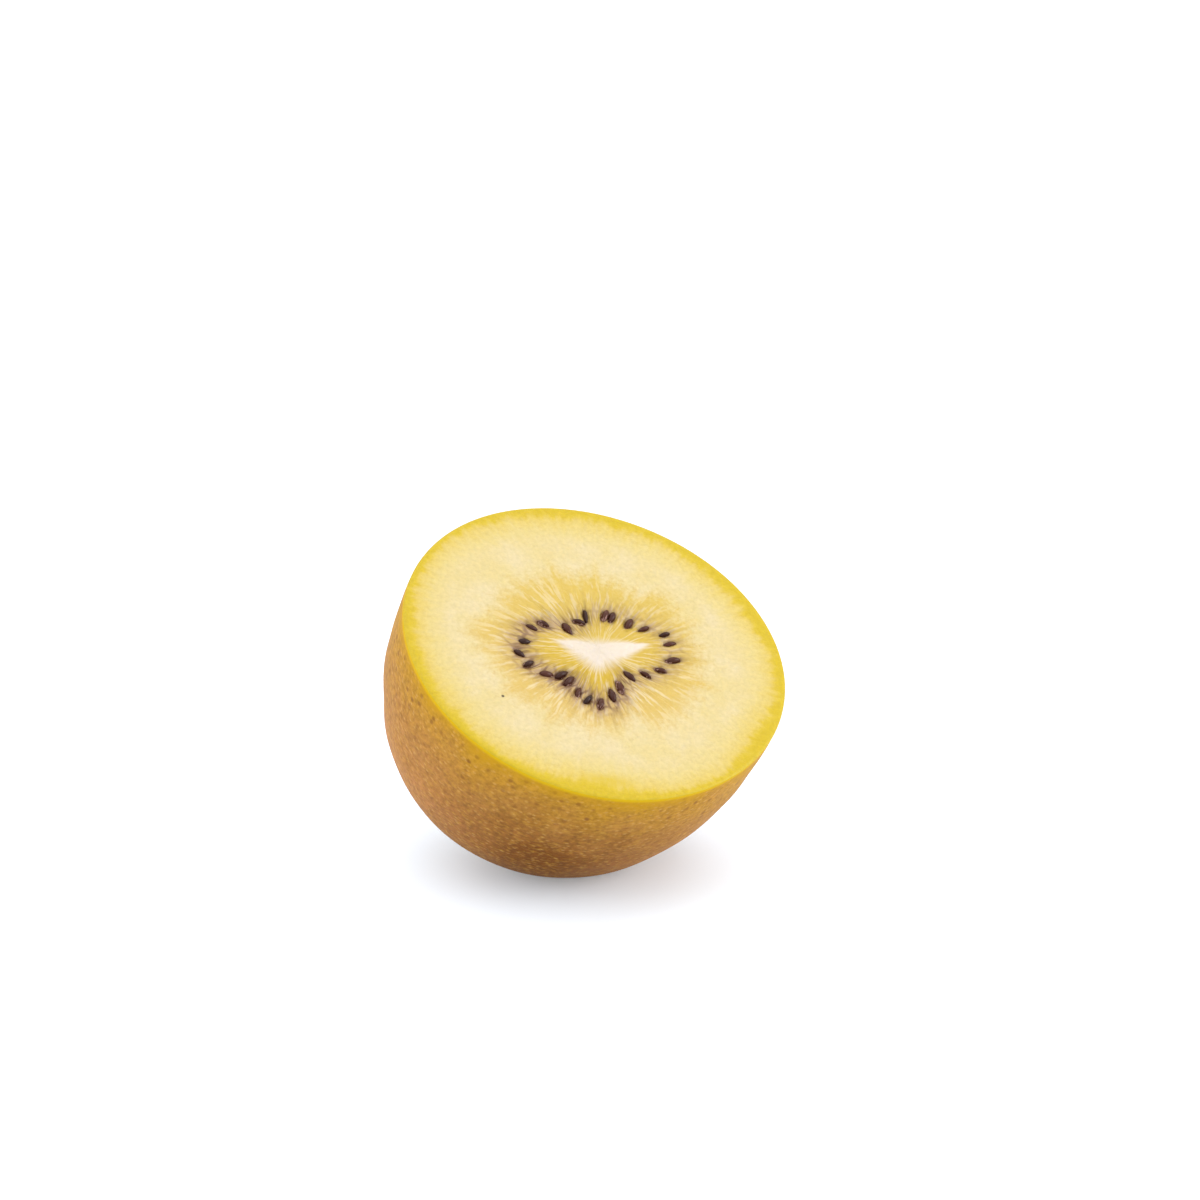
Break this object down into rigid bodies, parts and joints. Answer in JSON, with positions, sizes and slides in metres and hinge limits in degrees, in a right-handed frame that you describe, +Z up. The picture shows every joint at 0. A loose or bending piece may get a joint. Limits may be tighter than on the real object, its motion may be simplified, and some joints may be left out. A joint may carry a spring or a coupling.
{
  "type": "halved golden kiwi fruit",
  "caption": "Half of a golden kiwi fruit cut across, with tan skin, golden flesh, a ring of dark seeds and a pale core, lying on its skin with the cut face leaning forward.",
  "frame": {"origin": "middle of the small flat spot that the half rests on", "axes": "+Z up from the surface that it rests on; the cut face leans towards -Y and a little towards +X"},
  "size_m": [0.0558, 0.0518, 0.0485],
  "materials": {
    "skin": "thin tan fruit skin with a soft sheen, fine pale dots and darker pores",
    "flesh": "moist cut flesh, cream to golden yellow, with fine rays and a pale core",
    "seed": "smooth dark maroon seeds with small highlights"
  },
  "bodies": {
    "root": {"kiwi_half": "skin"}
  },
  "joints": []
}
